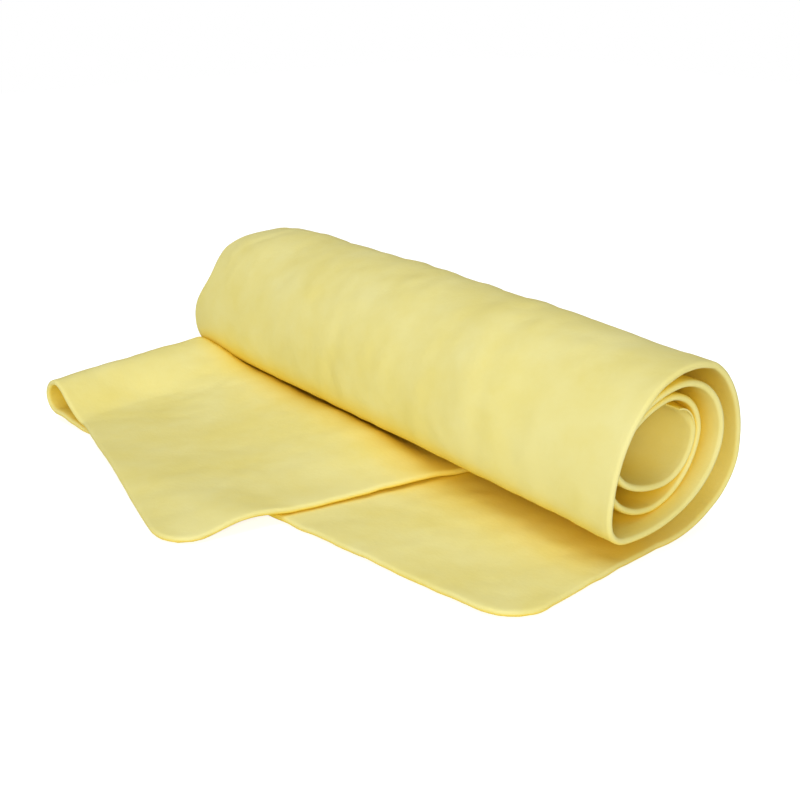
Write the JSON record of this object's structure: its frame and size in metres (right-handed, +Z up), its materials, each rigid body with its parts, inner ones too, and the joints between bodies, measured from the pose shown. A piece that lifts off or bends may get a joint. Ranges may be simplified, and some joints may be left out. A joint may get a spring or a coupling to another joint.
{
  "type": "synthetic chamois cloth",
  "caption": "Pale yellow synthetic chamois cleaning cloth, folded and rolled up, its tail laid flat with an open fold and a loose corner.",
  "frame": {"origin": "middle of the footprint on the surface that the cloth lies on", "axes": "+X along the roll towards its open spiral end, +Y from the tail to the roll, +Z up"},
  "size_m": [0.2768, 0.171, 0.0686],
  "materials": {
    "cloth": "matte"
  },
  "bodies": {
    "base": {"lower_layer": "cloth", "upper_layer": "cloth", "fold_loop": "cloth"},
    "outer_turn_01": {"outer_turn_01": "cloth"},
    "outer_turn_02": {"outer_turn_02": "cloth"},
    "outer_turn_03": {"outer_turn_03": "cloth"},
    "outer_turn_04": {"outer_turn_04": "cloth"},
    "outer_turn_05": {"outer_turn_05": "cloth"},
    "outer_turn_06": {"outer_turn_06": "cloth"},
    "outer_turn_07": {"outer_turn_07": "cloth"},
    "outer_turn_08": {"outer_turn_08": "cloth"},
    "outer_turn_09": {"outer_turn_09": "cloth"},
    "outer_turn_10": {"outer_turn_10": "cloth"},
    "outer_turn_11": {"outer_turn_11": "cloth"},
    "roll_core": {"second_turn_front": "cloth", "second_turn_back": "cloth", "third_turn_front": "cloth", "third_turn_back": "cloth", "inner_end": "cloth"},
    "front_corner": {"front_corner": "cloth"},
    "corner_flap": {"corner_flap": "cloth"}
  },
  "joints": [
    {"name": "bend_01", "type": "hinge", "parent": "base", "child": "outer_turn_01", "pos_m": [0.00657, 0.0553, 0], "axis": [-1, 0, 0], "range_deg": [0, 18.67]},
    {"name": "bend_02", "type": "hinge", "parent": "outer_turn_01", "child": "outer_turn_02", "pos_m": [0.00657, 0.0664, 0.00375], "axis": [-1, 0, 0], "range_deg": [0, 17.57]},
    {"name": "bend_03", "type": "hinge", "parent": "outer_turn_02", "child": "outer_turn_03", "pos_m": [0.00657, 0.08038, 0.014], "axis": [-1, 0, 0], "range_deg": [0, 33.68]},
    {"name": "bend_04", "type": "hinge", "parent": "outer_turn_03", "child": "outer_turn_04", "pos_m": [0.00657, 0.0855, 0.028], "axis": [-1, 0, 0], "range_deg": [0, 31.9]},
    {"name": "bend_05", "type": "hinge", "parent": "outer_turn_04", "child": "outer_turn_05", "pos_m": [0.00657, 0.08125, 0.0483], "axis": [-1, 0, 0], "range_deg": [0, 26.17]},
    {"name": "bend_06", "type": "hinge", "parent": "outer_turn_05", "child": "outer_turn_06", "pos_m": [0.00657, 0.06965, 0.06316], "axis": [-1, 0, 0], "range_deg": [0, 33.08]},
    {"name": "bend_07", "type": "hinge", "parent": "outer_turn_06", "child": "outer_turn_07", "pos_m": [0.00657, 0.0538, 0.0686], "axis": [-1, 0, 0], "range_deg": [0, 35.7]},
    {"name": "bend_08", "type": "hinge", "parent": "outer_turn_07", "child": "outer_turn_08", "pos_m": [0.00657, 0.0344, 0.06276], "axis": [-1, 0, 0], "range_deg": [0, 31.58]},
    {"name": "bend_09", "type": "hinge", "parent": "outer_turn_08", "child": "outer_turn_09", "pos_m": [0.00657, 0.0202, 0.0468], "axis": [-1, 0, 0], "range_deg": [0, 28.25]},
    {"name": "bend_10", "type": "hinge", "parent": "outer_turn_09", "child": "outer_turn_10", "pos_m": [0.00657, 0.015, 0.025], "axis": [-1, 0, 0], "range_deg": [0, 33.52]},
    {"name": "bend_11", "type": "hinge", "parent": "outer_turn_10", "child": "outer_turn_11", "pos_m": [0.00657, 0.01901, 0.01404], "axis": [-1, 0, 0], "range_deg": [0, 44.78]},
    {"name": "unroll", "type": "hinge", "parent": "outer_turn_11", "child": "roll_core", "pos_m": [0.00657, 0.0287, 0.0095], "axis": [-1, 0, 0], "range_deg": [0, 25.11]},
    {"name": "front_corner_lift", "type": "hinge", "parent": "base", "child": "front_corner", "pos_m": [0.11431, -0.01366, 0.0024], "axis": [-0.7, -0.7141, 0], "range_deg": [0, 75]},
    {"name": "corner_flap_lift", "type": "hinge", "parent": "base", "child": "corner_flap", "pos_m": [-0.0236, -0.03532, 0.0051], "axis": [-0.9218, -0.3878, 0], "range_deg": [0, 80]}
  ],
  "couplings": [
    {"joint": "bend_01", "follows": "unroll", "ratio": 0.7436},
    {"joint": "bend_02", "follows": "unroll", "ratio": 0.6996},
    {"joint": "bend_03", "follows": "unroll", "ratio": 1.3412},
    {"joint": "bend_04", "follows": "unroll", "ratio": 1.2703},
    {"joint": "bend_05", "follows": "unroll", "ratio": 1.042},
    {"joint": "bend_06", "follows": "unroll", "ratio": 1.3172},
    {"joint": "bend_07", "follows": "unroll", "ratio": 1.4216},
    {"joint": "bend_08", "follows": "unroll", "ratio": 1.2575},
    {"joint": "bend_09", "follows": "unroll", "ratio": 1.1252},
    {"joint": "bend_10", "follows": "unroll", "ratio": 1.3349},
    {"joint": "bend_11", "follows": "unroll", "ratio": 1.7834}
  ]
}
